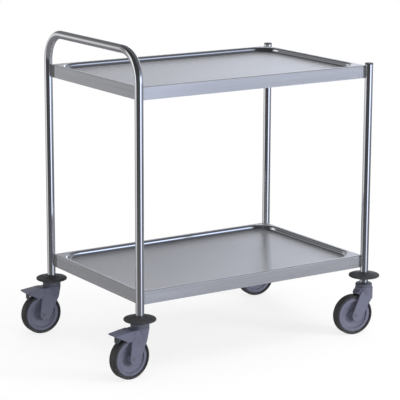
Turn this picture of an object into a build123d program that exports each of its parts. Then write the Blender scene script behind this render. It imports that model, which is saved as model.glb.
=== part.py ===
from build123d import *
import math
import os

# Tray clearing trolley: two pressed shelves on a round-tube frame with four swivel castors.
# Millimetres, +Z up, +X from the push handle to the free end, floor at z = 0.

# Frame tubes
upright_spacing_x = 810.0       # between upright centres, along the trolley
upright_spacing_y = 530.0       # between upright centres, across the trolley
tube_diameter = 25.0
tube_wall = 1.5
handle_centre_height = 936.0    # centre line of the push handle
handle_bend_radius = 85.0
upright_over_rim = 4.0          # cut end of the free uprights above the upper rim
plug_cap_height = 4.0
plug_edge = 1.0
plug_spigot_length = 15.0
plug_fit = 0.1                  # radial clearance of a plug or sleeve inside a tube

# Pressed shelves
top_rim_height = 838.0
low_rim_height = 247.0
apron_setback = 4.0             # apron face inside the plane of the upright centres
apron_height = 38.0
apron_corner_radius = 3.2
apron_bend_radius = 3.0
shelf_sheet = 1.2
hem_width = 10.0                # folded return under the apron
rim_width = 9.0                 # flat rim outside the recess bend
recess_depth = 16.0
recess_top_bend = 7.0
recess_foot_bend = 10.0
recess_draft = 12.0             # lean of the recess wall, in degrees
recess_corner_radius = 66.0     # in plan, where the lines of the wall and the floor meet

# Bumper discs
bumper_radius = 47.5
bumper_rim_half = 3.5           # half thickness at the rounded edge
bumper_hub_half = 7.0           # half thickness at the hub
bumper_hub_radius = 19.0
bumper_socket_depth = 5.0       # the tube end sits this deep in the disc

# Castor wheels
wheel_radius = 62.5
tyre_half_width = 15.0
tyre_shoulder = 6.0
tyre_depth = 8.0                # rubber between the core and the tread
seat_half_width = 10.0          # tyre seat at the core
tyre_lip = 2.0                  # the tyre widens by this just outside its seat
ring_width = 13.0               # flat outer ring of the wheel face
ring_half_width = 12.5
ring_bevel = 1.5
web_root_half_width = 3.0       # the web is dished, thinnest beside the hub
web_rim_half_width = 9.5
hub_radius = 10.5
hub_draft = 2.0                 # the hub is wider by this at its root
castor_trail = 38.0             # swivel axis to wheel axle
side_gap = 0.5                  # hub to fork leg, and pin end to pedal

# Axles
axle_radius = 4.0
axle_hole_fit = 0.2
axle_inset = 1.2                # pin end below the leg's outer face
sleeve_radius = 6.0
sleeve_fit = 0.05
axle_cap_radius = 5.5
axle_cap_height = 1.0
axle_cap_edge = 0.5

# Forks, heights counted from the top of the wheel
leg_gap_half = 17.5
leg_thickness = 5.0
leg_edge_round = 1.5
leg_end_radius = 18.5
leg_end_shift = 7.0             # round lower end, behind the axle
leg_end_drop = 1.0              # and below it
leg_knee_drop = 27.0            # the leg's back edge turns forward below this
plain_leg_knee = 8.0            # distances ahead of or behind the swivel axis
plain_leg_back = 20.0
plain_leg_waist_drop = 10.5
plain_leg_top = 24.5
plain_leg_front = 19.5
plain_leg_front_rise = 11.5
brake_leg_knee = 4.5
brake_leg_waist = 9.0
brake_leg_waist_drop = 20.0
brake_leg_back = 15.0
brake_leg_top = 20.5
brake_leg_front = 42.6
brake_leg_front_drop = 9.0
crown_clearance = 4.5           # crown above the tyre
crown_foot_back = 8.0
crown_foot_drop = 25.0
crown_foot_radius = 20.0        # the head tapers down to this between the legs
crown_taper_rise = 18.0
head_chamfer = 2.0
plain_brow_radius = 18.0
plain_brow_reach = 36.0         # crown front ahead of the swivel axis
plain_brow_rise = 4.5
plain_slope_reach = 23.0        # bend in the slope from the head to the brow
plain_slope_rise = 14.0
plain_slope_start = 17.0
plain_head_radius = 26.0
plain_head_rise = 26.0
brake_brow_radius = 19.5
brake_brow_reach = 44.0
brake_head_radius = 27.5
brake_head_rise = 25.0
brake_shoulder_rise = 21.5      # shoulder of the braked crown
core_half_width = 16.2          # middle of the braked crown, between the pedal's cheeks
core_back = 28.0
core_front_rise = 10.0
core_back_rise = 16.5

# Swivel stems
pin_radius = 7.5
swivel_fit = 0.05
swivel_gap = 0.4                # axial gaps between turning and fixed pieces
rivet_radius = 11.0
rivet_height = 4.0
rivet_edge = 1.5
rivet_seat_rise = 1.4           # rivet seat in the crown, above the wheel
rivet_room = 1.0                # radial room round the rivet
spigot_radius = 6.0
spigot_above_disc = 42.0
neck_radius = 13.2
neck_length = 16.5
plain_cap_height = 9.1
plain_cap_dome = 5.5
brake_cap_height = 12.6
brake_cap_dome = 1.5
expander_length = 34.0
expander_slit = 2.0
expander_slit_share = 0.7       # of its length

# Brake pedals, heights counted from the top of the wheel
pedal_half_width = 22.4
pedal_tip_half_width = 20.2
pedal_taper_start = 60.0        # the pedal narrows ahead of this
pedal_cheek_gap_half = 17.2
pedal_plate = 4.0
pedal_edge = 1.5
pedal_back = 30.0
pedal_reach = 97.0              # tip ahead of the swivel axis
pedal_back_rise = 22.0
pedal_tip_rise = 15.0
pedal_nose = 6.0                # plain tip beyond the cheeks
cheek_bend = 85.0               # bend in the cheeks' lower edge ahead of the swivel axis
cheek_bend_rise = 6.0
knuckle_radius = 19.0           # round back end of the pedal, about its pivot
knuckle_gap = 0.5
pivot_reach = 50.0
pivot_rise = 9.0
pivot_radius = 2.5
pivot_fit = 0.05
pivot_half_length = 20.6        # hidden in blind holes in the cheeks
nose_radius = 5.5
nose_half_width = 14.0
nose_root = 8.0                 # lug let into the crown
shoe_half_width = 9.0
shoe_front = 84.0
shoe_back = 71.0
shoe_rise = 4.0                 # top of the friction block
shoe_gap = 5.9                  # block to tyre with the brake off
post_inset = 1.5                # pedal post narrower than the block each side
tongue_half_width = 4.0         # pedal tongue let into the block
tongue_front = 81.5
tongue_back = 75.0
tongue_drop = 8.0               # below the top of the block
shoe_pin_reach = 78.5
shoe_pin_drop = 5.5             # below the top of the block
shoe_pin_radius = 1.8
shoe_pin_proud = 0.8
overlap = 1.0                   # pieces of one solid run into each other
full_round = 0.97               # share of a width taken by a near full rounding
slack = 0.01                    # when picking edges by their place

# Derived sizes
tube_radius = tube_diameter / 2
bore_radius = tube_radius - tube_wall
half_x = upright_spacing_x / 2
half_y = upright_spacing_y / 2
shelf_length = upright_spacing_x - 2 * apron_setback
shelf_width = upright_spacing_y - 2 * apron_setback
bend_setback = math.tan(math.radians(90 - recess_draft) / 2)
wall_run = recess_depth * math.tan(math.radians(recess_draft))
recess_inset = rim_width + recess_top_bend * bend_setback + wall_run
recess_length = shelf_length - 2 * recess_inset
recess_width = shelf_width - 2 * recess_inset
upright_top_height = top_rim_height + upright_over_rim
leg_outer_half = leg_gap_half + leg_thickness
core_radius = wheel_radius - tyre_depth
wheel_top = 2 * wheel_radius
axle_height = wheel_radius
axle_x = -castor_trail
pivot_x = -pivot_reach
pivot_height = wheel_top + pivot_rise
shoe_top = wheel_top + shoe_rise
rivet_seat = wheel_top + rivet_seat_rise
crown_foot = wheel_top - crown_foot_drop
plain_head_top = wheel_top + plain_head_rise
brake_head_top = wheel_top + brake_head_rise
plain_cap_top = plain_head_top + swivel_gap + plain_cap_height
brake_cap_top = brake_head_top + swivel_gap + brake_cap_height
# The castors trail towards the handle, so the frame stands off centre in the overall box
frame_shift = (pedal_reach - bumper_radius) / 2

# Name, side along X, side along Y, has a brake, swivel angle in degrees
castors = (
    ("handle_near", -1, -1, True, 5.3),
    ("handle_far", -1, 1, True, -3.2),
    ("free_near", 1, -1, False, -8.6),
    ("free_far", 1, 1, False, -7.3),
)


# Shared helpers

def save(node, *solids):
    """Write one node; several solids become a group in the same file."""
    placed = [Pos(frame_shift, 0, 0) * solid for solid in solids]
    shape = placed[0] if len(placed) == 1 else Compound(children=placed)
    shape.label = node
    export_step(shape, f"parts/{node}.step")


def side_face(*points):
    """Face in the XZ plane from (x, z) pairs."""
    return make_face(Polyline(*[(x, 0, z) for x, z in points], close=True))


def slab(face, half_width):
    """Extrude an XZ face both ways along Y."""
    return extrude(face, amount=half_width, both=True)


def disc_along_y(x, z, radius, half_width):
    return Pos(x, 0, z) * Rot(90, 0, 0) * Cylinder(radius, 2 * half_width)


def post(radius, low, high):
    """Round bar standing on the Z axis between two heights."""
    return Pos(0, 0, (low + high) / 2) * Cylinder(radius, high - low)


def turned(*points):
    """Solid of revolution about Z from (r, z) pairs."""
    return revolve(side_face(*points), Axis.Z)


def widest_edges(shape):
    """The circular edges of largest radius on a turned solid."""
    circles = shape.edges().filter_by(GeomType.CIRCLE)
    return circles.group_by(lambda edge: round(edge.radius, 3))[-1]


# Frame

def disc_foot(braked):
    """Underside of a bumper disc's hub."""
    return brake_cap_top if braked else plain_cap_top + neck_length


def disc_top(braked):
    return disc_foot(braked) + 2 * bumper_hub_half


def tube_foot(braked):
    return disc_top(braked) - bumper_socket_depth


def handle_frame():
    foot = tube_foot(True)
    path = FilletPolyline(
        (-half_x, half_y, foot),
        (-half_x, half_y, handle_centre_height),
        (-half_x, -half_y, handle_centre_height),
        (-half_x, -half_y, foot),
        radius=handle_bend_radius,
    )
    start = Plane(origin=path @ 0, z_dir=path % 0)
    outer = sweep(start * Circle(tube_radius), path=path)
    inner = sweep(start * Circle(bore_radius), path=path)
    return outer - inner


def free_upright():
    foot = tube_foot(False)
    return post(tube_radius, foot, upright_top_height) - post(bore_radius, foot, upright_top_height)


def end_plug():
    spigot = bore_radius - plug_fit
    cap_top = upright_top_height + plug_cap_height
    return turned(
        (0, upright_top_height - plug_spigot_length),
        (spigot, upright_top_height - plug_spigot_length),
        (spigot, upright_top_height),
        (tube_radius, upright_top_height),
        (tube_radius, cap_top - plug_edge),
        (tube_radius - plug_edge, cap_top),
        (0, cap_top),
    )


# Shelves

def block(length, width, corner, low, high):
    return Pos(0, 0, low) * extrude(RectangleRounded(length, width, corner), amount=high - low)


def recess_block(growth, low, high):
    """Block as wide as the tray recess and its growth at the foot, widening upwards by the draft."""
    length = recess_length + 2 * growth
    width = recess_width + 2 * growth
    plan = RectangleRounded(length, width, recess_corner_radius + growth)
    return Pos(0, 0, low) * extrude(plan, amount=high - low, taper=-recess_draft)


def recess_edges(shape, height):
    """Edges lying at one height inside the flat rim."""
    reach = shelf_length / 2 - rim_width
    found = shape.edges().filter_by_position(Axis.Z, height - slack, height + slack)
    return found.filter_by(lambda edge: max(edge.bounding_box().max.X, -edge.bounding_box().min.X) < reach)


def pressed_outside(foot, floor, rim):
    """Outer skin of a shelf: a block with the tray recess pressed into it."""
    skin = block(shelf_length, shelf_width, apron_corner_radius, foot, rim)
    skin = fillet(skin.faces().sort_by(Axis.Z)[-1].edges(), apron_bend_radius)
    recess = recess_block(0, floor, rim + overlap)
    recess = fillet(recess.faces().sort_by(Axis.Z)[0].edges(), recess_foot_bend)
    skin = skin - recess
    return fillet(recess_edges(skin, rim), recess_top_bend)


def hollow_inside(foot, floor, rim):
    """Room left under the sheet, with the folded hem closing part of its mouth."""
    ceiling = rim - shelf_sheet
    room = block(shelf_length - 2 * shelf_sheet, shelf_width - 2 * shelf_sheet,
                 apron_corner_radius - shelf_sheet, foot + shelf_sheet, ceiling)
    pan = recess_block(shelf_sheet * bend_setback, floor - shelf_sheet, rim)
    pan = fillet(pan.faces().sort_by(Axis.Z)[0].edges(), recess_foot_bend + shelf_sheet)
    room = room - pan
    room = fillet(recess_edges(room, ceiling), recess_top_bend - shelf_sheet)
    mouth = block(shelf_length - 2 * hem_width, shelf_width - 2 * hem_width,
                  apron_corner_radius, foot - overlap, foot + shelf_sheet)
    return room + mouth


def shelf(rim):
    foot = rim - apron_height
    floor = rim - recess_depth
    sheet = pressed_outside(foot, floor, rim) - hollow_inside(foot, floor, rim)
    for side_x in (-1, 1):
        for side_y in (-1, 1):
            notch = post(tube_radius, foot - overlap, rim + overlap)
            sheet = sheet - Pos(side_x * half_x, side_y * half_y, 0) * notch
    return sheet


# Castors, each built with its swivel axis on Z and the wheel trailing towards -X

def bumper(braked):
    low = disc_foot(braked)
    high = disc_top(braked)
    middle = (low + high) / 2
    shoulder = bumper_radius - bumper_rim_half
    disc = turned(
        (0, low),
        (bumper_hub_radius, low),
        (shoulder, middle - bumper_rim_half),
        (bumper_radius, middle - bumper_rim_half),
        (bumper_radius, middle + bumper_rim_half),
        (shoulder, middle + bumper_rim_half),
        (bumper_hub_radius, high),
        (0, high),
    )
    disc = fillet(widest_edges(disc), bumper_rim_half * full_round)
    return disc - post(tube_radius, tube_foot(braked), high) - post(spigot_radius, low, high)


def expander(braked):
    """Slotted sleeve that grips the inside of a tube round the castor's spigot."""
    foot = tube_foot(braked)
    top = foot + expander_length
    sleeve = post(bore_radius - plug_fit, foot, top) - post(spigot_radius, foot, top)
    slit_length = expander_length * expander_slit_share
    slit = Pos(0, 0, top - slit_length / 2) * Box(expander_slit, 2 * tube_radius, slit_length)
    return sleeve - slit - Rot(0, 0, 90) * slit


def stem(braked):
    cap_top = brake_cap_top if braked else plain_cap_top
    spigot_top = disc_top(braked) + spigot_above_disc
    rivet_top = rivet_seat - swivel_gap
    rivet_foot = rivet_top - rivet_height
    shaft = turned(
        (0, rivet_foot),
        (rivet_radius - rivet_edge, rivet_foot),
        (rivet_radius, rivet_foot + rivet_edge),
        (rivet_radius, rivet_top),
        (pin_radius, rivet_top),
        (pin_radius, cap_top),
        (spigot_radius, cap_top),
        (spigot_radius, spigot_top),
        (0, spigot_top),
    )
    if braked:
        return shaft
    return shaft + post(neck_radius, cap_top, cap_top + neck_length)


def swivel_cap(braked):
    """Cap over the swivel, domed more on the plain castors."""
    radius = brake_head_radius if braked else plain_head_radius
    top = brake_cap_top if braked else plain_cap_top
    low = top - (brake_cap_height if braked else plain_cap_height)
    dome = brake_cap_dome if braked else plain_cap_dome
    cap = post(radius, low, top)
    cap = fillet(cap.faces().sort_by(Axis.Z)[-1].edges(), dome)
    return cap - post(pin_radius, low, top)


def tangent_point(centre, radius, point, side):
    """Where the line from point touches a circle; side picks one of the two tangents."""
    dx = point[0] - centre[0]
    dz = point[1] - centre[1]
    angle = math.atan2(dz, dx) + side * math.acos(radius / math.hypot(dx, dz))
    return centre[0] + radius * math.cos(angle), centre[1] + radius * math.sin(angle)


def leg_outline(braked):
    """Leg seen from the side, tapering from the crown to a round end at the axle."""
    centre = (axle_x + leg_end_shift, axle_height - leg_end_drop)
    if braked:
        knee = (brake_leg_knee, wheel_top - leg_knee_drop)
        corner = (-brake_leg_front, wheel_top - brake_leg_front_drop)
        rest = (
            (brake_leg_waist, wheel_top - brake_leg_waist_drop),
            (brake_leg_back, wheel_top + brake_leg_top),
            (-brake_leg_front, wheel_top + brake_leg_top),
        )
    else:
        knee = (plain_leg_knee, wheel_top - leg_knee_drop)
        corner = (-plain_leg_front, wheel_top + plain_leg_front_rise)
        rest = (
            (plain_leg_back, wheel_top - plain_leg_waist_drop),
            (plain_leg_back, wheel_top + plain_leg_top),
        )
    front_touch = tangent_point(centre, leg_end_radius, corner, 1)
    back_touch = tangent_point(centre, leg_end_radius, knee, -1)
    foot = (centre[0], centre[1] - leg_end_radius)
    lines = Polyline(*[(x, 0, z) for x, z in (back_touch, knee, *rest, corner, front_touch)])
    round_end = ThreePointArc(*[(x, 0, z) for x, z in (front_touch, foot, back_touch)])
    return make_face([lines, round_end])


def leg(braked, side_y):
    middle = side_y * (leg_gap_half + leg_thickness / 2)
    plate = Pos(0, middle, 0) * slab(leg_outline(braked), leg_thickness / 2)
    outer_face = plate.faces().sort_by(Axis.Y)[-1 if side_y > 0 else 0]
    return fillet(outer_face.edges(), leg_edge_round)


def crown(head_radius, head_top, brow_radius, reach, front):
    """Round fork head tapering down between the legs, with a brow that follows the front points."""
    head = turned(
        (0, crown_foot),
        (crown_foot_radius, crown_foot),
        (head_radius, wheel_top + crown_taper_rise),
        (head_radius, head_top - head_chamfer),
        (head_radius - head_chamfer, head_top),
        (0, head_top),
    )
    brow = Pos(brow_radius - reach, 0) * Circle(brow_radius)
    plan = make_hull(Circle(crown_foot_radius).edges() + brow.edges())
    column = Pos(0, 0, crown_foot) * extrude(plan, amount=head_top - crown_foot)
    slope = side_face((0, crown_foot), (-reach, crown_foot), *front, (0, front[-1][1]))
    body = head + (column & slab(slope, 2 * head_radius))
    waist = side_face(
        (head_radius, head_top),
        (head_radius, wheel_top),
        (crown_foot_back, crown_foot),
        (-2 * reach, crown_foot),
        (-2 * reach, head_top),
    )
    return body & slab(waist, 2 * head_radius)


def plain_fork_body():
    front = (
        (-plain_brow_reach, wheel_top + plain_brow_rise),
        (-plain_slope_reach, wheel_top + plain_slope_rise),
        (-plain_slope_start, plain_head_top - head_chamfer),
    )
    body = crown(plain_head_radius, plain_head_top, plain_brow_radius, plain_brow_reach, front)
    return body + leg(False, -1) + leg(False, 1)


def pedal_lug():
    """Middle of the braked crown, with the lug that carries the pedal pin."""
    core = slab(side_face(
        (-core_back, crown_foot),
        (-brake_brow_reach, crown_foot),
        (-brake_brow_reach, wheel_top + core_front_rise),
        (-core_back, wheel_top + core_back_rise),
    ), core_half_width)
    lug = slab(side_face(
        (nose_root - brake_brow_reach, pivot_height - nose_radius),
        (pivot_x, pivot_height - nose_radius),
        (pivot_x, pivot_height + nose_radius),
        (nose_root - brake_brow_reach, pivot_height + nose_radius),
    ), nose_half_width)
    return core + lug + disc_along_y(pivot_x, pivot_height, nose_radius, nose_half_width)


def brake_fork_body():
    """Braked crown and legs, hollowed round the pedal's knuckle."""
    shoulder = wheel_top + brake_shoulder_rise
    front = ((-brake_brow_reach, shoulder), (-brake_head_radius, shoulder))
    body = crown(brake_head_radius, brake_head_top, brake_brow_radius, brake_brow_reach, front)
    body = body + leg(True, -1) + leg(True, 1)
    body = body - disc_along_y(pivot_x, pivot_height, knuckle_radius + knuckle_gap, 2 * leg_outer_half)
    body = body + pedal_lug()
    return body - disc_along_y(pivot_x, pivot_height, pivot_radius, 2 * nose_half_width)


def fork(braked):
    body = brake_fork_body() if braked else plain_fork_body()
    body = body - disc_along_y(axle_x, axle_height, wheel_radius + crown_clearance, leg_gap_half)
    body = body - disc_along_y(axle_x, axle_height, axle_radius + axle_hole_fit, 2 * leg_outer_half)
    body = body - post(pin_radius + swivel_fit, crown_foot, 2 * wheel_top)
    return body - post(rivet_radius + rivet_room, 0, rivet_seat)


def along_axle(shape):
    """Move a solid turned about Z onto the wheel axle."""
    return Pos(axle_x, 0, axle_height) * Rot(90, 0, 0) * shape


def both_sides(points):
    """Mirror half a wheel section, given as (radius, offset) pairs, about the wheel plane."""
    return points + [(r, -offset) for r, offset in reversed(points)]


def wheel_core():
    hub_half = leg_gap_half - side_gap
    ring_inner = core_radius - ring_width
    section = both_sides([
        (sleeve_radius + sleeve_fit, hub_half),
        (hub_radius - ring_bevel, hub_half),
        (hub_radius, hub_half - ring_bevel),
        (hub_radius + hub_draft, web_root_half_width),
        (ring_inner, web_rim_half_width),
        (ring_inner + ring_bevel, ring_half_width),
        (core_radius - 2 * ring_bevel, ring_half_width),
        (core_radius, seat_half_width),
    ])
    return along_axle(turned(*section))


def tyre():
    section = both_sides([
        (core_radius, seat_half_width),
        (core_radius + tyre_lip / 2, seat_half_width + tyre_lip),
        (wheel_radius - tyre_shoulder, tyre_half_width),
        (wheel_radius, tyre_half_width),
    ])
    ring = turned(*section)
    return along_axle(fillet(widest_edges(ring), tyre_shoulder * full_round))


def axle_sleeve():
    outside = post(sleeve_radius, -leg_gap_half, leg_gap_half)
    return along_axle(outside - post(axle_radius, -leg_gap_half, leg_gap_half))


def axle():
    half_length = leg_outer_half - axle_inset
    return along_axle(post(axle_radius, -half_length, half_length))


def axle_cap(side_y):
    """Plain cap that closes the axle hole in one leg."""
    cap = post(axle_cap_radius, leg_outer_half, leg_outer_half + axle_cap_height)
    cap = fillet(cap.faces().sort_by(Axis.Z)[-1].edges(), axle_cap_edge)
    cap = cap + post(axle_radius, leg_outer_half - axle_inset, leg_outer_half)
    return along_axle(cap if side_y < 0 else Rot(180, 0, 0) * cap)


# Brake pedals

def pedal_top(x):
    """Height of the pedal plate's upper face."""
    slope = (pedal_back_rise - pedal_tip_rise) / (pedal_reach - pedal_back)
    return wheel_top + pedal_back_rise + slope * (x + pedal_back)


def pedal_body():
    """Wedge from the tip back to a round knuckle at the pivot, cut off along the top of the plate."""
    tip = -pedal_reach
    bend = (-cheek_bend, wheel_top + cheek_bend_rise)
    touch = tangent_point((pivot_x, pivot_height), knuckle_radius, bend, 1)
    wedge = slab(side_face(
        (pivot_x, pedal_top(pivot_x)),
        (tip + pedal_edge, pedal_top(tip + pedal_edge)),
        (tip, pedal_top(tip) - pedal_plate / 2),
        (tip + pedal_edge, pedal_top(tip) - pedal_plate),
        bend,
        touch,
        (pivot_x, pivot_height),
    ), pedal_half_width)
    body = wedge + disc_along_y(pivot_x, pivot_height, knuckle_radius, pedal_half_width)
    above = slab(side_face(
        (0, pedal_top(0)),
        (2 * tip, pedal_top(2 * tip)),
        (2 * tip, 2 * wheel_top),
        (0, 2 * wheel_top),
    ), 2 * pedal_half_width)
    plan = make_face(Polyline(
        (0, -pedal_half_width),
        (-pedal_taper_start, -pedal_half_width),
        (tip, -pedal_tip_half_width),
        (tip, pedal_tip_half_width),
        (-pedal_taper_start, pedal_half_width),
        (0, pedal_half_width),
        close=True,
    ))
    return (body - above) & extrude(plan, amount=2 * wheel_top)


def pedal_tongue():
    """Tongue under the pedal's post that the friction block is pinned to."""
    return slab(side_face(
        (-tongue_front, shoe_top - tongue_drop),
        (-tongue_front, shoe_top + overlap),
        (-tongue_back, shoe_top + overlap),
        (-tongue_back, shoe_top - tongue_drop),
    ), tongue_half_width)


def shoe_pin():
    half_length = shoe_half_width + shoe_pin_proud
    return disc_along_y(-shoe_pin_reach, shoe_top - shoe_pin_drop, shoe_pin_radius, half_length)


def pedal():
    nose = pedal_nose - pedal_reach
    room = slab(side_face(
        (0, pedal_top(0) - pedal_plate),
        (nose, pedal_top(nose) - pedal_plate),
        (nose, 0),
        (0, 0),
    ), pedal_cheek_gap_half)
    arm = slab(side_face(
        (-shoe_front, shoe_top),
        (-shoe_front, pedal_top(-shoe_front) - overlap),
        (-shoe_back, pedal_top(-shoe_back) - overlap),
        (-shoe_back, shoe_top),
    ), shoe_half_width - post_inset)
    bore = disc_along_y(pivot_x, pivot_height, pivot_radius + pivot_fit, pivot_half_length + side_gap)
    return pedal_body() - room + arm + pedal_tongue() - bore - shoe_pin()


def brake_shoe():
    """Friction block under the pedal, hollowed to follow the tyre."""
    shoe = slab(side_face(
        (-shoe_front, shoe_top),
        (-shoe_back, shoe_top),
        (-shoe_back, axle_height),
        (-shoe_front, axle_height),
    ), shoe_half_width)
    shoe = shoe - disc_along_y(axle_x, axle_height, wheel_radius + shoe_gap, 2 * shoe_half_width)
    return shoe - pedal_tongue() - shoe_pin()


def pivot_pin():
    return disc_along_y(pivot_x, pivot_height, pivot_radius, pivot_half_length)


def main():
    os.makedirs("parts", exist_ok=True)
    save("handle_frame", handle_frame())
    save("upright_near", Pos(half_x, -half_y, 0) * free_upright())
    save("upright_far", Pos(half_x, half_y, 0) * free_upright())
    save("end_plugs", *[Pos(half_x, side_y * half_y, 0) * end_plug() for side_y in (-1, 1)])
    save("top_shelf", shelf(top_rim_height))
    save("bottom_shelf", shelf(low_rim_height))
    sleeves = []
    for name, side_x, side_y, braked, angle in castors:
        foot = Pos(side_x * half_x, side_y * half_y, 0)
        turn = foot * Rot(0, 0, angle)
        sleeves.append(foot * expander(braked))
        save(f"bumper_{name}", foot * bumper(braked))
        save(f"stem_{name}", foot * stem(braked))
        save(f"swivel_cap_{name}", foot * swivel_cap(braked))
        save(f"fork_{name}", turn * fork(braked))
        save(f"wheel_core_{name}", turn * wheel_core())
        save(f"tyre_{name}", turn * tyre())
        save(f"axle_sleeve_{name}", turn * axle_sleeve())
        save(f"axle_{name}", turn * axle())
        save(f"axle_caps_{name}", turn * axle_cap(-1), turn * axle_cap(1))
        if braked:
            save(f"pedal_{name}", turn * pedal())
            save(f"brake_shoe_{name}", turn * brake_shoe())
            save(f"shoe_pin_{name}", turn * shoe_pin())
            save(f"pivot_pin_{name}", turn * pivot_pin())
    save("stem_expanders", *sleeves)


main()
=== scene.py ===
import math

import bmesh
import bpy
from mathutils import Matrix, Vector


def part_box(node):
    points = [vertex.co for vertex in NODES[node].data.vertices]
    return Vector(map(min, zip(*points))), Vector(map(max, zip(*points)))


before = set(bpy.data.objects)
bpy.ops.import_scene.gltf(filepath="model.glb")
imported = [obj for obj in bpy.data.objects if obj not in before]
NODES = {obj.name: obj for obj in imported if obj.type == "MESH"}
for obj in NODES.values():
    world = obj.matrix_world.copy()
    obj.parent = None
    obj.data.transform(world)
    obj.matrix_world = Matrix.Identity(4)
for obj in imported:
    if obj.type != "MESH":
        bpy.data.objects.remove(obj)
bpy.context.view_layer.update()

bl_info = {
    "name": "Tray Clearing Trolley Finish",
    "version": (1, 0, 0),
    "blender": (4, 5, 0),
    "location": "View3D > Sidebar > Trolley",
    "description": "Finishes a steel tray clearing trolley and lights it on a pale floor",
    "category": "Object",
}

CORNERS = ("handle_near", "handle_far", "free_near", "free_far")
BRAKED = ("handle_near", "handle_far")
SHELVES = ("top_shelf", "bottom_shelf")
WHITE = (1.0, 1.0, 1.0, 1.0)

# Lengths on the shelves, in metres
TRAY_DEPTH = 0.016              # tray floor below the rim
FLAT_FADE = (0.0002, 0.0008)    # away from a flat's height, where its satin starts and ends fading
SIDE_FADE = (0.004, 0.001)      # inside the outline, where the sides' finish and their painted shade start and are full

# Shelf sheet: satin on the flats and the folded sides, pressed bright in the bends between them, with painted
# shade darkening the folded sides
FINE_LINES = (420.0, 6.0)       # scale across and along the drawn lines
BROAD_LINES = (140.0, 2.5)
LINE_SHADE = 0.95               # share of the shelf colour in the lines
SIDE_PAINTED_SHADES = (0.73, 0.63)      # and on the sides, lowered as painted shade for the lesser light on them, between the lines and in them
SATIN_METALLIC = 0.72
BEND_ROUGHNESS = 0.09
FLAT_ROUGHNESS = 0.25
SIDE_ROUGHNESS = 0.14
FLAT_GRAIN = 0.45
SIDE_GRAIN = 0.15
GRAIN_ROUGHNESS = 0.03          # added in the deepest grain
SHEET_BUMP = 0.12
ACROSS_LINES = 0.25             # share of a turn from along the lines to across them

# Steel and moulded surfaces
LINE_RELIEF = 0.0002            # in metres
GRAIN_RELIEF = 0.0003
GRAIN_SCALE = 900.0
PATCH_SHADE = 0.94              # share of the steel's colour in its wiped patches
PATCH_WEIGHT = 0.4              # of the patches against the lines, in the roughness
TONE_SHADE = 0.88               # share of a moulding's colour where its tone is darkest
DUST_COLOUR = (0.30, 0.295, 0.28, 1.0)

# Floor
FLOOR_SIDES = 96
FLOOR_ROUGHNESS = 0.9
FLOOR_FADE = (0.5, 0.97)        # shares of the radius between which the shadows fade out
FLOOR_WHITE = 0.8               # share of the white veil at the middle

# Studio seen in reflections: marks round each band give a share of a turn from -X, light and coolness
STUDIO_FLOOR = (0.20, 0.20, 0.22, 1.0)
STUDIO_BASE = (
    (0.00, 0.06, 0.3), (0.25, 0.07, 0.6), (0.268, 1.60, 1.0), (0.322, 1.60, 1.2), (0.342, 0.16, 0.8),
    (0.60, 0.16, 0.6), (0.66, 0.45, 0.4), (0.80, 0.38, 0.2), (0.85, 0.42, 0.1), (0.88, 0.74, 0.1),
    (0.955, 0.85, 0.1), (0.985, 0.06, 0.1))
STUDIO_WALL = (
    (0.00, 0.05, 0.2), (0.24, 0.07, 0.6), (0.262, 1.35, 1.0), (0.335, 1.80, 1.5), (0.36, 1.05, 1.6),
    (0.40, 0.90, 1.2), (0.45, 0.30, 0.8), (0.54, 0.45, 0.6), (0.62, 0.80, 0.6), (0.637, 2.70, 0.9),
    (0.655, 1.85, 0.8), (0.67, 0.95, 0.4), (0.72, 0.60, 0.2), (0.834, 0.82, 0.1), (0.843, 0.20, 0.1),
    (0.866, 0.20, 0.1), (0.88, 1.20, 0.1), (0.935, 1.20, 0.1), (0.965, 0.05, 0.1))
STUDIO_UPPER = (
    (0.00, 0.04, 0.2), (0.24, 0.05, 0.6), (0.27, 0.30, 0.8), (0.40, 0.24, 0.8), (0.54, 0.34, 0.4),
    (0.62, 0.45, 0.3), (0.637, 0.90, 0.3), (0.655, 0.52, 0.3), (0.67, 0.40, 0.2), (0.70, 0.20, 0.1),
    (0.80, 0.20, 0.1), (0.86, 0.30, 0.1), (0.89, 0.90, 0.1), (0.945, 0.80, 0.1), (0.97, 0.04, 0.1))
STUDIO_CEILING = (
    (0.00, 0.04, 0.2), (0.25, 0.05, 0.5), (0.33, 0.13, 0.5), (0.70, 0.13, 0.3), (0.90, 0.04, 0.1))
COOL_TINT = (-0.14, -0.065, 0.12)   # change of red, green and blue for one unit of coolness
FLOOR_EDGE = (-0.20, -0.36)         # heights of the view direction where one band gives way to the next
WALL_EDGE = (-0.20, -0.08)
UPPER_EDGE = (0.12, 0.30)
CEILING_EDGE = (0.42, 0.56)

SENSOR_WIDTH = 36.0             # in millimetres


# Values a user may change

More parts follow.
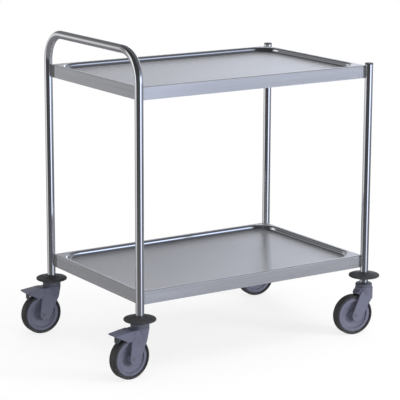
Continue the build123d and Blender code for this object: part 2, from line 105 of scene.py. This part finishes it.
class TrolleyFinishes(bpy.types.PropertyGroup):
    """Colours of the trolley's finishes."""

    tube_colour: bpy.props.FloatVectorProperty(
        name="Tube steel", description="Polished tube colour", subtype="COLOR",
        size=4, min=0, max=1, default=(0.85, 0.85, 0.86, 1))
    shelf_colour: bpy.props.FloatVectorProperty(
        name="Shelf steel", description="Satin sheet colour", subtype="COLOR",
        size=4, min=0, max=1, default=(0.735, 0.74, 0.77, 1))
    zinc_colour: bpy.props.FloatVectorProperty(
        name="Zinc plate", description="Plated castor hardware", subtype="COLOR",
        size=4, min=0, max=1, default=(0.66, 0.67, 0.69, 1))
    nylon_colour: bpy.props.FloatVectorProperty(
        name="Grey nylon", description="Forks, pedals and wheel bodies", subtype="COLOR",
        size=4, min=0, max=1, default=(0.110, 0.113, 0.162, 1))
    # partly painted shade: the caps' own grey is darkened further, standing in for the shade under the bumper
    # discs; the axle caps share it
    cap_colour_with_shade: bpy.props.FloatVectorProperty(
        name="Cap plastic", description="Swivel caps and axle caps", subtype="COLOR",
        size=4, min=0, max=1, default=(0.088, 0.093, 0.120, 1))
    tyre_colour: bpy.props.FloatVectorProperty(
        name="Tyre rubber", description="Solid tyre colour", subtype="COLOR",
        size=4, min=0, max=1, default=(0.033, 0.033, 0.035, 1))
    bumper_colour: bpy.props.FloatVectorProperty(
        name="Bumper rubber", description="Bumper disc colour", subtype="COLOR",
        size=4, min=0, max=1, default=(0.036, 0.036, 0.040, 1))
    plug_colour: bpy.props.FloatVectorProperty(
        name="Dark plastic", description="Tube plugs, stem sleeves and brake blocks", subtype="COLOR",
        size=4, min=0, max=1, default=(0.040, 0.041, 0.046, 1))


class TrolleyStage(bpy.types.PropertyGroup):
    """Camera, floor and light."""

    camera_place: bpy.props.FloatVectorProperty(
        name="Camera place", description="Camera position in the trolley's frame", subtype="TRANSLATION",
        unit="LENGTH", size=3, default=(-2.8805, -4.4250, 1.6101))
    camera_yaw: bpy.props.FloatProperty(
        name="Camera yaw", description="Turn from +Y towards +X", subtype="ANGLE",
        default=math.radians(33.02))
    camera_pitch: bpy.props.FloatProperty(
        name="Camera pitch", description="Downward tilt", subtype="ANGLE",
        default=math.radians(12.675))
    camera_roll: bpy.props.FloatProperty(
        name="Camera roll", description="Turn about the line of sight", subtype="ANGLE",
        default=math.radians(0.20))
    lens: bpy.props.FloatProperty(
        name="Lens", description="Focal length in millimetres on a 36 mm sensor", default=159.07, min=1)
    floor_colour: bpy.props.FloatVectorProperty(
        name="Floor", description="Pale floor colour", subtype="COLOR",
        size=4, min=0, max=1, default=(0.90, 0.90, 0.90, 1))
    floor_radius: bpy.props.FloatProperty(
        name="Floor radius", description="Radius of the pale floor", unit="LENGTH", default=1.15, min=0.7)
    ambient: bpy.props.FloatProperty(
        name="Ambient", description="Strength of the light from all round", default=0.45, min=0)
    key_power: bpy.props.FloatProperty(
        name="Key light", description="Soft light at the front right", subtype="POWER", default=105, min=0)
    fill_power: bpy.props.FloatProperty(
        name="Fill lights", description="Soft lights at the left and behind", subtype="POWER",
        default=38, min=0)
    top_power: bpy.props.FloatProperty(
        name="Top light", description="Soft light overhead", subtype="POWER", default=70, min=0)


# Node building

def add_node(tree, kind, **settings):
    """Add a shader node and set its own properties."""
    made = tree.nodes.new(kind)
    for name, value in settings.items():
        setattr(made, name, value)
    return made


def feed(tree, socket, source):
    """Link a socket, or set its constant."""
    if isinstance(source, bpy.types.NodeSocket):
        tree.links.new(source, socket)
    else:
        socket.default_value = source


def math_node(tree, operation, *values):
    made = add_node(tree, "ShaderNodeMath", operation=operation)
    for socket, value in zip(made.inputs, values):
        feed(tree, socket, value)
    return made.outputs[0]


def spread(tree, value, low=0.0, high=1.0, to_low=0.0, to_high=1.0):
    """Map a value from one range to another, clamped."""
    made = add_node(tree, "ShaderNodeMapRange")
    for socket, source in zip(made.inputs, (value, low, high, to_low, to_high)):
        feed(tree, socket, source)
    return made.outputs["Result"]


def noise(tree, vector, scale, detail, roughness=0.55):
    made = add_node(tree, "ShaderNodeTexNoise")
    feed(tree, made.inputs["Vector"], vector)
    feed(tree, made.inputs["Scale"], scale)
    feed(tree, made.inputs["Detail"], detail)
    feed(tree, made.inputs["Roughness"], roughness)
    return made.outputs["Fac"]


def axes(tree, vector):
    """The X, Y and Z of a vector."""
    made = add_node(tree, "ShaderNodeSeparateXYZ")
    feed(tree, made.inputs[0], vector)
    return made.outputs


def distance(tree, coordinate, plane):
    """How far a coordinate is from a plane, on either side."""
    return math_node(tree, "ABSOLUTE", math_node(tree, "SUBTRACT", coordinate, plane))


def blend_colour(tree, share, first, second):
    made = add_node(tree, "ShaderNodeMix", data_type="RGBA")
    feed(tree, made.inputs[0], share)
    feed(tree, made.inputs[6], first)
    feed(tree, made.inputs[7], second)
    return made.outputs[2]


def blend_shader(tree, share, first, second):
    made = add_node(tree, "ShaderNodeMixShader")
    for socket, source in zip(made.inputs, (share, first, second)):
        feed(tree, socket, source)
    return made.outputs[0]


# Shared surface effects

def new_group(name, inputs, outputs):
    """Start a node group with named sockets; inputs carry (kind, default)."""
    group = bpy.data.node_groups.new(name, "ShaderNodeTree")
    for label, (kind, default) in inputs.items():
        socket = group.interface.new_socket(label, in_out="INPUT", socket_type=kind)
        if default is not None:
            socket.default_value = default
    for label in outputs:
        group.interface.new_socket(label, in_out="OUTPUT", socket_type="NodeSocketFloat")
    enter = add_node(group, "NodeGroupInput")
    leave = add_node(group, "NodeGroupOutput")
    return group, enter.outputs, leave.inputs


def drawn_lines_group(name):
    """Fine lines left by drawing, rolling or brushing the steel, and wiped patches."""
    group, given, result = new_group(
        name,
        {"Vector": ("NodeSocketVector", None), "Stretch": ("NodeSocketVector", (1.0, 1.0, 1.0))},
        ("Lines", "Patches"))
    stretched = add_node(group, "ShaderNodeMapping")
    feed(group, stretched.inputs["Vector"], given["Vector"])
    feed(group, stretched.inputs["Scale"], given["Stretch"])
    lines = noise(group, stretched.outputs["Vector"], scale=1.0, detail=4.0, roughness=0.7)
    feed(group, result["Lines"], spread(group, lines, 0.3, 0.7))
    patches = noise(group, given["Vector"], scale=9.0, detail=5.0)
    feed(group, result["Patches"], spread(group, patches, 0.35, 0.7))


def moulded_grain_group(name):
    """Even fine grain of a moulded surface, with slow tone changes."""
    group, given, result = new_group(
        name,
        {"Vector": ("NodeSocketVector", None), "Scale": ("NodeSocketFloat", GRAIN_SCALE)},
        ("Grain", "Tone"))
    feed(group, result["Grain"], noise(group, given["Vector"], given["Scale"], detail=2.0))
    slow = math_node(group, "DIVIDE", given["Scale"], 25.0)
    feed(group, result["Tone"], spread(group, noise(group, given["Vector"], slow, detail=4.0), 0.3, 0.7))


def floor_dust_group(name):
    """Pale dust that gathers low down and in patches."""
    group, given, result = new_group(
        name,
        {"Vector": ("NodeSocketVector", None), "Reach": ("NodeSocketFloat", 0.1)},
        ("Dust",))
    low = spread(group, axes(group, given["Vector"])["Z"], 0.0, given["Reach"], 1.0, 0.0)
    patches = noise(group, given["Vector"], scale=120.0, detail=5.0)
    thick = spread(group, patches, 0.42, 0.68, 0.15, 1.0)
    feed(group, result["Dust"], math_node(group, "MULTIPLY", low, thick))


EFFECTS = {
    "Drawn Lines": drawn_lines_group,
    "Moulded Grain": moulded_grain_group,
    "Floor Dust": floor_dust_group,
}


def place_group(tree, name, vector, **values):
    """Place a shared effect in a material with its own values; its first use builds it."""
    if name not in bpy.data.node_groups:
        EFFECTS[name](name)
    made = add_node(tree, "ShaderNodeGroup", node_tree=bpy.data.node_groups[name])
    feed(tree, made.inputs["Vector"], vector)
    for label, value in values.items():
        made.inputs[label].default_value = value
    return made.outputs


# Finishes

def new_finish(name, metallic):
    """Start a material; returns the material, its tree, its shader and the object coordinates."""
    material = bpy.data.materials.new(name)
    material.use_nodes = True
    tree = material.node_tree
    shader = tree.nodes["Principled BSDF"]
    shader.inputs["Metallic"].default_value = metallic
    place = add_node(tree, "ShaderNodeTexCoord").outputs["Object"]
    return material, tree, shader, place


def add_bump(tree, shader, height, strength, relief):
    bump = add_node(tree, "ShaderNodeBump")
    bump.inputs["Strength"].default_value = strength
    bump.inputs["Distance"].default_value = relief
    feed(tree, bump.inputs["Height"], height)
    feed(tree, shader.inputs["Normal"], bump.outputs["Normal"])


def darker(colour, share):
    return tuple(channel * share for channel in colour[:3]) + (1.0,)


def steel_finish(name, colour, stretch, smooth, rough, bump):
    """Stainless or plated steel with drawn lines and faint wiped patches."""
    material, tree, shader, place = new_finish(name, 1.0)
    marks = place_group(tree, "Drawn Lines", place, Stretch=stretch)
    feed(tree, shader.inputs["Base Color"],
         blend_colour(tree, marks["Patches"], tuple(colour), darker(colour, PATCH_SHADE)))
    worn = math_node(tree, "MULTIPLY_ADD", marks["Patches"], PATCH_WEIGHT, marks["Lines"])
    feed(tree, shader.inputs["Roughness"], spread(tree, worn, 0.0, 1.0 + PATCH_WEIGHT, smooth, rough))
    add_bump(tree, shader, marks["Lines"], bump, LINE_RELIEF)
    return material


def moulded_finish(name, colour, smooth, rough, bump, dusty, reach):
    """Moulded plastic or rubber with fine grain, and dust up to a height."""
    material, tree, shader, place = new_finish(name, 0.0)
    texture = place_group(tree, "Moulded Grain", place, Scale=GRAIN_SCALE)
    toned = blend_colour(tree, texture["Tone"], darker(colour, TONE_SHADE), tuple(colour))
    settled = place_group(tree, "Floor Dust", place, Reach=reach)["Dust"]
    share = math_node(tree, "MULTIPLY", settled, dusty)
    feed(tree, shader.inputs["Base Color"], blend_colour(tree, share, toned, DUST_COLOUR))
    feed(tree, shader.inputs["Roughness"], spread(tree, texture["Tone"], to_low=smooth, to_high=rough))
    add_bump(tree, shader, texture["Grain"], bump, GRAIN_RELIEF)
    return material


def side_masks(tree, place):
    """Masks of a shelf's folded sides: one on the two ends, and one on all four sides."""
    low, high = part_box("top_shelf")
    parts = axes(tree, place)
    masks = []
    for axis in (0, 1):
        middle = (low[axis] + high[axis]) / 2
        edge = (high[axis] - low[axis]) / 2
        start, full = (edge - inside for inside in SIDE_FADE)
        masks.append(spread(tree, distance(tree, parts[axis], middle), start, full))
    return masks[0], math_node(tree, "MAXIMUM", *masks)


def flat_mask(tree, place):
    """One on the shelves' flat floors and rims, nought on the bends between them."""
    height = axes(tree, place)["Z"]
    mask = None
    for shelf in SHELVES:
        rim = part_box(shelf)[1][2]
        for level in (rim, rim - TRAY_DEPTH):
            near = spread(tree, distance(tree, height, level), *FLAT_FADE, 1.0, 0.0)
            mask = near if mask is None else math_node(tree, "MAXIMUM", mask, near)
    return mask


def sheet_lines(tree, place, ends, scales):
    """Drawn lines along each face of the sheet: across the trolley on its ends, else along it."""
    across, along = scales
    ahead = place_group(tree, "Drawn Lines", place, Stretch=(along, across, across))["Lines"]
    aside = place_group(tree, "Drawn Lines", place, Stretch=(across, along, across))["Lines"]
    return spread(tree, ends, 0.3, 0.7, ahead, aside)


def brush_sheet(tree, shader, ends, brushed):
    """Stretch the gloss across the drawn lines where the sheet is brushed."""
    along = add_node(tree, "ShaderNodeCombineXYZ")
    feed(tree, along.inputs["X"], math_node(tree, "SUBTRACT", 1.0, ends))
    feed(tree, along.inputs["Y"], ends)
    feed(tree, shader.inputs["Tangent"], along.outputs["Vector"])
    shader.inputs["Anisotropic Rotation"].default_value = ACROSS_LINES
    feed(tree, shader.inputs["Anisotropic"], brushed)


def shelf_finish(name, colour):
    """Satin sheet on the flats and sides, pressed bright in the bends, with drawn lines, and painted shade on
    the sides.
    """
    material, tree, shader, place = new_finish(name, 1.0)
    ends, sides = side_masks(tree, place)
    flat = flat_mask(tree, place)
    satin = math_node(tree, "MAXIMUM", flat, sides)
    fine = sheet_lines(tree, place, ends, FINE_LINES)
    broad = sheet_lines(tree, place, ends, BROAD_LINES)
    within = blend_colour(tree, broad, tuple(colour), darker(colour, LINE_SHADE))
    # painted shade: the folded sides take a darker copy of the shelf colour, standing in for the lesser light
    # on them
    painted_shade_sides = blend_colour(tree, broad, *(darker(colour, share) for share in SIDE_PAINTED_SHADES))
    feed(tree, shader.inputs["Base Color"], blend_colour(tree, sides, within, painted_shade_sides))
    feed(tree, shader.inputs["Metallic"], spread(tree, satin, to_low=1.0, to_high=SATIN_METALLIC))
    brush_sheet(tree, shader, ends, satin)
    smooth = math_node(tree, "MAXIMUM",
                       spread(tree, flat, to_low=BEND_ROUGHNESS, to_high=FLAT_ROUGHNESS),
                       spread(tree, sides, to_high=SIDE_ROUGHNESS))
    share = spread(tree, flat, to_low=math_node(tree, "MULTIPLY", sides, SIDE_GRAIN), to_high=FLAT_GRAIN)
    grain = math_node(tree, "MULTIPLY", fine, share)
    feed(tree, shader.inputs["Roughness"],
         math_node(tree, "ADD", smooth, math_node(tree, "MULTIPLY", grain, GRAIN_ROUGHNESS)))
    add_bump(tree, shader, grain, SHEET_BUMP, LINE_RELIEF)
    return material


def dress(material, *names):
    """Give CAD nodes a finish."""
    for name in names:
        for slot in NODES[name].material_slots:
            slot.material = material


def each(stem, corners=CORNERS):
    """A piece's node names at its corners."""
    return [f"{stem}_{corner}" for corner in corners]


# Stage

def lay_floor(stage):
    """A pale disc that shows the trolley's shadow, fades to white and stays out of reflections."""
    shape = bmesh.new()
    bmesh.ops.create_circle(shape, cap_ends=True, segments=FLOOR_SIDES, radius=stage.floor_radius)
    mesh = bpy.data.meshes.new("Floor")
    shape.to_mesh(mesh)
    shape.free()
    floor = bpy.data.objects.new("Floor", mesh)
    floor.visible_glossy = False
    bpy.context.collection.objects.link(floor)
    mesh.materials.append(floor_finish(stage))


def floor_finish(stage):
    """Plain pale floor, shown to the camera under a veil of white."""
    material, tree, shader, place = new_finish("Pale Floor", 0.0)
    shader.inputs["Base Color"].default_value = tuple(stage.floor_colour)
    shader.inputs["Roughness"].default_value = FLOOR_ROUGHNESS
    shader.inputs["Specular IOR Level"].default_value = 0.0
    white = add_node(tree, "ShaderNodeEmission")
    white.inputs["Strength"].default_value = 1.0
    reach = add_node(tree, "ShaderNodeVectorMath", operation="LENGTH")
    feed(tree, reach.inputs[0], place)
    start, full = (stage.floor_radius * share for share in FLOOR_FADE)
    fade = spread(tree, reach.outputs["Value"], start, full, FLOOR_WHITE, 1.0)
    seen = add_node(tree, "ShaderNodeLightPath").outputs["Is Camera Ray"]
    surface = blend_shader(tree, math_node(tree, "MULTIPLY", seen, fade), shader.outputs[0], white.outputs[0])
    feed(tree, tree.nodes["Material Output"].inputs["Surface"], surface)
    return material


def studio_ring(tree, turn, marks):
    """Colour round the studio in one band."""
    ramp = add_node(tree, "ShaderNodeValToRGB")
    stops = ramp.color_ramp.elements
    while len(stops) < len(marks):
        stops.new(1.0)
    for stop, (position, light, cool) in zip(stops, marks):
        stop.position = position
        stop.color = tuple(light * (1.0 + tint * cool) for tint in COOL_TINT) + (1.0,)
    feed(tree, ramp.inputs[0], turn)
    return ramp.outputs[0]


def studio_colour(tree):
    """Light of the studio by direction: floor, base, wall, upper wall and a dark ceiling."""
    way = add_node(tree, "ShaderNodeTexCoord").outputs["Generated"]
    turn = add_node(tree, "ShaderNodeTexGradient", gradient_type="RADIAL")
    feed(tree, turn.inputs["Vector"], way)
    height = axes(tree, way)["Z"]
    base, wall, upper, ceiling = [
        studio_ring(tree, turn.outputs["Fac"], marks)
        for marks in (STUDIO_BASE, STUDIO_WALL, STUDIO_UPPER, STUDIO_CEILING)]
    seen = base
    for edge, band in ((FLOOR_EDGE, STUDIO_FLOOR), (WALL_EDGE, wall),
                       (UPPER_EDGE, upper), (CEILING_EDGE, ceiling)):
        seen = blend_colour(tree, spread(tree, height, *edge), seen, band)
    return seen


def light_world(scene, stage):
    """White behind the trolley for the camera, the studio in reflections, dim light from all round."""
    world = bpy.data.worlds.new("Studio")
    scene.world = world
    world.use_nodes = True
    tree = world.node_tree
    path = add_node(tree, "ShaderNodeLightPath").outputs
    straight = math_node(tree, "MAXIMUM", path["Is Camera Ray"], path["Is Transmission Ray"])
    result = None
    for colour, strength, share in ((WHITE, stage.ambient, None),
                                    (studio_colour(tree), 1.0, path["Is Glossy Ray"]),
                                    (WHITE, 1.0, straight)):
        layer = add_node(tree, "ShaderNodeBackground")
        feed(tree, layer.inputs["Color"], colour)
        layer.inputs["Strength"].default_value = strength
        light = layer.outputs[0]
        result = light if result is None else blend_shader(tree, share, result, light)
    feed(tree, tree.nodes["World Output"].inputs["Surface"], result)


def add_softbox(name, power, place, aim, size):
    """A soft lamp that isn't itself reflected."""
    lamp = bpy.data.lights.new(name, "AREA")
    lamp.shape = "RECTANGLE"
    lamp.size, lamp.size_y = size
    lamp.energy = power
    box = bpy.data.objects.new(name, lamp)
    box.location = place
    box.rotation_euler = (Vector(aim) - Vector(place)).to_track_quat("-Z", "Y").to_euler()
    box.visible_glossy = False
    bpy.context.collection.objects.link(box)


def add_camera(scene, stage):
    """The camera that took the photograph, as worked out from it."""
    data = bpy.data.cameras.new("Camera")
    data.sensor_width = SENSOR_WIDTH
    data.lens = stage.lens
    camera = bpy.data.objects.new("Camera", data)
    yaw = Matrix.Rotation(-stage.camera_yaw, 4, "Z")
    pitch = Matrix.Rotation(math.pi / 2 - stage.camera_pitch, 4, "X")
    roll = Matrix.Rotation(stage.camera_roll, 4, "Z")
    camera.matrix_world = Matrix.Translation(stage.camera_place) @ (yaw @ pitch @ roll)
    bpy.context.collection.objects.link(camera)
    scene.camera = camera


# Operators, one for each group of like pieces and one for the stage

class TROLLEY_OT_tubes(bpy.types.Operator):
    """Polish the handle frame and the uprights"""

    bl_idname = "trolley.polish_tubes"
    bl_label = "Polish Tubes"

    def execute(self, context):
        colours = context.scene.trolley_finishes
        polished = steel_finish(
            "Polished Tube Steel", colours.tube_colour, stretch=(700.0, 700.0, 5.0),
            smooth=0.08, rough=0.11, bump=0.002)
        dress(polished, "handle_frame", "upright_near", "upright_far")
        return {"FINISHED"}


class TROLLEY_OT_shelves(bpy.types.Operator):
    """Brush the pressed shelves"""

    bl_idname = "trolley.brush_shelves"
    bl_label = "Brush Shelves"

    def execute(self, context):
        colours = context.scene.trolley_finishes
        dress(shelf_finish("Satin Shelf Steel", colours.shelf_colour), *SHELVES)
        return {"FINISHED"}


class TROLLEY_OT_bumpers(bpy.types.Operator):
    """Finish the bumper discs, the tube plugs, the stem sleeves and the brake blocks"""

    bl_idname = "trolley.finish_bumpers"
    bl_label = "Finish Bumpers"

    def execute(self, context):
        colours = context.scene.trolley_finishes
        rubber = moulded_finish(
            "Bumper Rubber", colours.bumper_colour, smooth=0.50, rough=0.66, bump=0.12, dusty=0.10, reach=0.40)
        dress(rubber, *each("bumper"))
        plastic = moulded_finish(
            "Dark Plastic", colours.plug_colour, smooth=0.36, rough=0.50, bump=0.08, dusty=0.08, reach=0.40)
        dress(plastic, "end_plugs", "stem_expanders", *each("brake_shoe", BRAKED))
        return {"FINISHED"}


class TROLLEY_OT_castors(bpy.types.Operator):
    """Finish the forks, pedals, wheel bodies, tyres and caps"""

    bl_idname = "trolley.finish_castors"
    bl_label = "Finish Castors"

    def execute(self, context):
        colours = context.scene.trolley_finishes
        nylon = moulded_finish(
            "Grey Nylon", colours.nylon_colour, smooth=0.28, rough=0.40, bump=0.05, dusty=0.12, reach=0.16)
        dress(nylon, *each("fork"), *each("wheel_core"), *each("pedal", BRAKED))
        rubber = moulded_finish(
            "Tyre Rubber", colours.tyre_colour, smooth=0.50, rough=0.70, bump=0.15, dusty=0.22, reach=0.05)
        dress(rubber, *each("tyre"))
        # the caps' own darker grey, deepened as painted shade for the shade under the bumper discs
        caps = moulded_finish(
            "Cap Plastic", colours.cap_colour_with_shade, smooth=0.36, rough=0.50, bump=0.06, dusty=0.12, reach=0.16)
        dress(caps, *each("swivel_cap"), *each("axle_caps"))
        return {"FINISHED"}


class TROLLEY_OT_fittings(bpy.types.Operator):
    """Finish the plated stems, axles, sleeves and pins"""

    bl_idname = "trolley.finish_fittings"
    bl_label = "Finish Fittings"

    def execute(self, context):
        colours = context.scene.trolley_finishes
        zinc = steel_finish(
            "Bright Zinc", colours.zinc_colour, stretch=(300.0, 300.0, 300.0),
            smooth=0.20, rough=0.34, bump=0.03)
        dress(zinc, *each("stem"), *each("axle"), *each("axle_sleeve"))
        dress(zinc, *each("pivot_pin", BRAKED), *each("shoe_pin", BRAKED))
        return {"FINISHED"}


class TROLLEY_OT_stage(bpy.types.Operator):
    """Lay the floor and set the light and the camera"""

    bl_idname = "trolley.set_stage"
    bl_label = "Set Stage"

    def execute(self, context):
        stage = context.scene.trolley_stage
        lay_floor(stage)
        light_world(context.scene, stage)
        add_softbox("Key Softbox", stage.key_power,
                    place=(2.3, -2.7, 0.85), aim=(0.0, 0.0, 0.4), size=(0.9, 1.4))
        add_softbox("Top Softbox", stage.top_power,
                    place=(0.2, -0.4, 3.2), aim=(0.0, 0.0, 0.5), size=(3.0, 3.0))
        add_softbox("Fill Softbox", stage.fill_power,
                    place=(-3.0, -2.6, 0.9), aim=(0.0, 0.0, 0.4), size=(1.5, 1.6))
        add_softbox("Back Softbox", stage.fill_power,
                    place=(1.2, 3.2, 1.2), aim=(0.0, 0.0, 0.4), size=(1.5, 1.6))
        add_camera(context.scene, stage)
        context.scene.view_settings.view_transform = "Standard"
        return {"FINISHED"}


class TROLLEY_PT_sidebar(bpy.types.Panel):
    """Lists the steps that finish the trolley"""

    bl_label = "Tray Clearing Trolley"
    bl_idname = "TROLLEY_PT_sidebar"
    bl_space_type = "VIEW_3D"
    bl_region_type = "UI"
    bl_category = "Trolley"

    def draw(self, context):
        for step in STEPS:
            self.layout.operator(step.bl_idname)


STEPS = (TROLLEY_OT_tubes, TROLLEY_OT_shelves, TROLLEY_OT_bumpers, TROLLEY_OT_castors,
         TROLLEY_OT_fittings, TROLLEY_OT_stage)
CLASSES = (TrolleyFinishes, TrolleyStage, *STEPS, TROLLEY_PT_sidebar)


def register():
    for made in CLASSES:
        bpy.utils.register_class(made)
    bpy.types.Scene.trolley_finishes = bpy.props.PointerProperty(type=TrolleyFinishes)
    bpy.types.Scene.trolley_stage = bpy.props.PointerProperty(type=TrolleyStage)


def unregister():
    del bpy.types.Scene.trolley_finishes
    del bpy.types.Scene.trolley_stage
    for made in reversed(CLASSES):
        bpy.utils.unregister_class(made)


def main():
    register()
    bpy.ops.trolley.polish_tubes()
    bpy.ops.trolley.brush_shelves()
    bpy.ops.trolley.finish_bumpers()
    bpy.ops.trolley.finish_castors()
    bpy.ops.trolley.finish_fittings()
    bpy.ops.trolley.set_stage()


if __name__ == "__main__":
    main()
